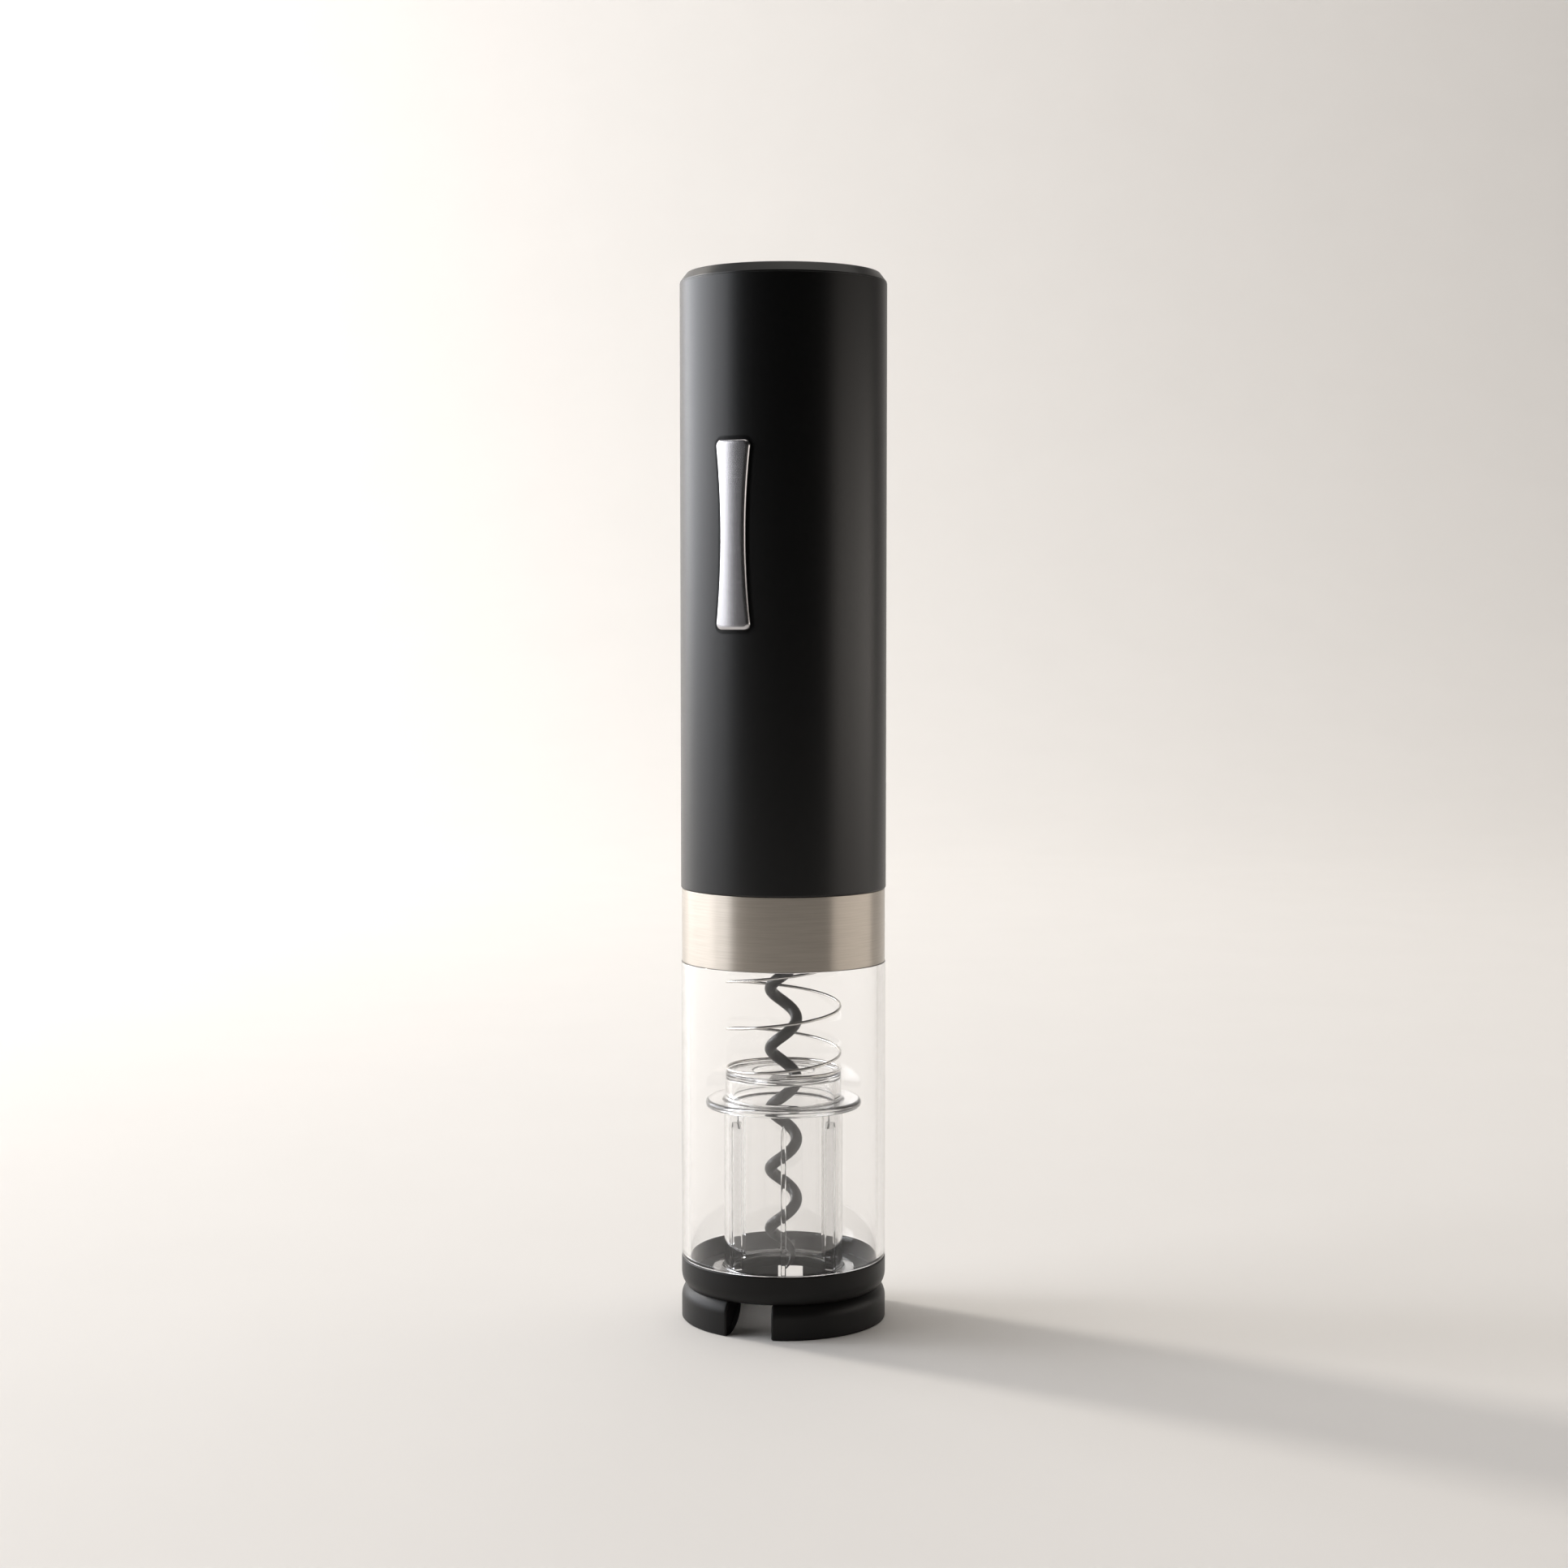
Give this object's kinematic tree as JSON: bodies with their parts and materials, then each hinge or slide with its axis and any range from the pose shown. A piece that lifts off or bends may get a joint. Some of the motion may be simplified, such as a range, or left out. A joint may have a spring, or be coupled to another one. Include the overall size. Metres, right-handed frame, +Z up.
{
  "type": "electric wine opener",
  "caption": "Upright cordless wine opener: tubular black body with rocker button, steel band, clear sleeve over a worm, sprung cork cage and two-arm foil cutter base.",
  "frame": {"origin": "centre of the foil cutter's underside, on the surface it stands on", "axes": "+Z up along the body's axis, -Y to the front"},
  "size_m": [0.048, 0.048, 0.244],
  "materials": {
    "black_abs": "black moulded ABS with a soft-touch coat",
    "ring_abs": "black moulded ABS, satin",
    "cutter_abs": "black moulded ABS, fine texture",
    "clear_plastic": "clear moulded polycarbonate",
    "brushed_steel": "stainless steel, brushed round the body",
    "button_metal": "anodised aluminium, brushed across",
    "coated_steel": "steel wire with a non-stick coating",
    "spring_steel": "bright nickel-plated spring wire",
    "bright_steel": "machined steel",
    "gear_steel": "sintered steel",
    "bronze": "sintered bronze",
    "magnet": "ferrite",
    "inner_plastic": "black moulded nylon",
    "board": "green epoxy board",
    "cell_wrap": "shrink-wrapped steel can",
    "foam": "closed-cell foam",
    "light_pipe": "clear moulded acrylic"
  },
  "bodies": {
    "cutter_left": {"cutter_left_arm": "cutter_abs", "left_wheel_pins": "bright_steel", "cutter_hinge_pin": "bright_steel", "cutter_spring": "spring_steel"},
    "cutter_right": {"cutter_right_arm": "cutter_abs", "right_wheel_pins": "bright_steel"},
    "opener": {"base_ring": "ring_abs", "clear_sleeve": "clear_plastic", "steel_band": "brushed_steel", "joint_collar": "inner_plastic", "body_shell": "black_abs", "top_cap": "black_abs", "ring_gear_housing": "inner_plastic", "gearbox_front_plate": "bright_steel", "gearbox_rear_plate": "bright_steel", "gearbox_screws": "bright_steel", "output_bush": "bronze", "motor_can": "bright_steel", "motor_magnets": "magnet", "motor_end_cap": "inner_plastic", "motor_screws": "bright_steel", "battery_cell": "cell_wrap", "cell_strips": "bright_steel", "cell_pad": "foam", "button_cradle": "inner_plastic", "rocker_pin": "bright_steel", "switch_board": "board", "push_switches": "inner_plastic", "charge_board": "board", "charge_socket": "bright_steel", "charge_light_pipe": "light_pipe", "board_screws": "bright_steel", "frame_button_half": "inner_plastic", "frame_back_half": "inner_plastic", "frame_screws": "bright_steel", "cage_spring": "spring_steel"},
    "cage": {"cork_cage": "clear_plastic"},
    "rocker": {"rocker_face": "button_metal", "rocker_base": "inner_plastic"},
    "motor": {"motor_rotor": "gear_steel", "first_sun": "bronze"},
    "first_stage": {"first_carrier": "gear_steel", "second_sun": "gear_steel"},
    "worm_drive": {"worm": "coated_steel", "worm_holder": "inner_plastic", "holder_screw": "bright_steel", "output_carrier": "gear_steel"},
    "cutting_wheel_1": {"cutting_wheel_1": "bright_steel"},
    "cutting_wheel_2": {"cutting_wheel_2": "bright_steel"},
    "cutting_wheel_3": {"cutting_wheel_3": "bright_steel"},
    "cutting_wheel_4": {"cutting_wheel_4": "bright_steel"},
    "first_planet_1": {"first_planet_1": "gear_steel"},
    "first_planet_2": {"first_planet_2": "gear_steel"},
    "first_planet_3": {"first_planet_3": "gear_steel"},
    "second_planet_1": {"second_planet_1": "gear_steel"},
    "second_planet_2": {"second_planet_2": "gear_steel"},
    "second_planet_3": {"second_planet_3": "gear_steel"}
  },
  "joints": [
    {"name": "cutter_squeeze", "type": "hinge", "parent": "cutter_left", "child": "cutter_right", "pos_m": [0.00218, 0.02079, 0.00395], "axis": [0, 0, -1], "range_deg": [0, 3], "stiffness_Nm_per_rad": 0.2, "springref_deg": -8.59},
    {"name": "opener_lift", "type": "slide", "parent": "cutter_left", "child": "opener", "axis": [0, 0, 1], "range_m": [0, 0.04]},
    {"name": "cage_slide", "type": "slide", "parent": "opener", "child": "cage", "axis": [0, 0, 1], "range_m": [0, 0.026], "stiffness_N_per_m": 60, "springref_m": -0.012, "deforming": ["cage_spring"]},
    {"name": "button_rock", "type": "hinge", "parent": "opener", "child": "rocker", "pos_m": [-0.00939, -0.01766, 0.1832], "axis": [0.8829, -0.4695, 0], "range_deg": [-2.5, 2.5], "stiffness_Nm_per_rad": 0.1},
    {"name": "motor_spin", "type": "hinge", "parent": "opener", "child": "motor", "pos_m": [0, 0, 0.1327], "axis": [0, 0, 1], "continuous": true},
    {"name": "first_stage_spin", "type": "hinge", "parent": "opener", "child": "first_stage", "pos_m": [0, 0, 0.1196], "axis": [0, 0, 1], "continuous": true},
    {"name": "worm_spin", "type": "hinge", "parent": "opener", "child": "worm_drive", "pos_m": [0, 0, 0.11], "axis": [0, 0, 1], "continuous": true},
    {"name": "first_planet_1_spin", "type": "hinge", "parent": "first_stage", "child": "first_planet_1", "pos_m": [0.0081, 0, 0.1227], "axis": [0, 0, 1], "continuous": true},
    {"name": "first_planet_2_spin", "type": "hinge", "parent": "first_stage", "child": "first_planet_2", "pos_m": [-0.00405, 0.00702, 0.1227], "axis": [0, 0, 1], "continuous": true},
    {"name": "first_planet_3_spin", "type": "hinge", "parent": "first_stage", "child": "first_planet_3", "pos_m": [-0.00405, -0.00702, 0.1227], "axis": [0, 0, 1], "continuous": true},
    {"name": "second_planet_1_spin", "type": "hinge", "parent": "worm_drive", "child": "second_planet_1", "pos_m": [0.0081, 0, 0.1131], "axis": [0, 0, 1], "continuous": true},
    {"name": "second_planet_2_spin", "type": "hinge", "parent": "worm_drive", "child": "second_planet_2", "pos_m": [-0.00405, 0.00702, 0.1131], "axis": [0, 0, 1], "continuous": true},
    {"name": "second_planet_3_spin", "type": "hinge", "parent": "worm_drive", "child": "second_planet_3", "pos_m": [-0.00405, -0.00702, 0.1131], "axis": [0, 0, 1], "continuous": true},
    {"name": "cutting_wheel_1_spin", "type": "hinge", "parent": "cutter_right", "child": "cutting_wheel_1", "pos_m": [0.01228, -0.01463, 0.0046], "axis": [0, 0, 1], "continuous": true},
    {"name": "cutting_wheel_2_spin", "type": "hinge", "parent": "cutter_right", "child": "cutting_wheel_2", "pos_m": [0.01565, 0.01095, 0.0046], "axis": [0, 0, 1], "continuous": true},
    {"name": "cutting_wheel_3_spin", "type": "hinge", "parent": "cutter_left", "child": "cutting_wheel_3", "pos_m": [-0.01654, -0.00955, 0.0046], "axis": [0, 0, 1], "continuous": true},
    {"name": "cutting_wheel_4_spin", "type": "hinge", "parent": "cutter_left", "child": "cutting_wheel_4", "pos_m": [-0.01228, 0.01463, 0.0046], "axis": [0, 0, 1], "continuous": true}
  ],
  "couplings": [
    {"joint": "first_stage_spin", "follows": "motor_spin", "ratio": 0.16667},
    {"joint": "worm_spin", "follows": "motor_spin", "ratio": 0.027778},
    {"joint": "first_planet_1_spin", "follows": "motor_spin", "ratio": -0.41667},
    {"joint": "first_planet_2_spin", "follows": "motor_spin", "ratio": -0.41667},
    {"joint": "first_planet_3_spin", "follows": "motor_spin", "ratio": -0.41667},
    {"joint": "second_planet_1_spin", "follows": "motor_spin", "ratio": -0.069444},
    {"joint": "second_planet_2_spin", "follows": "motor_spin", "ratio": -0.069444},
    {"joint": "second_planet_3_spin", "follows": "motor_spin", "ratio": -0.069444}
  ]
}
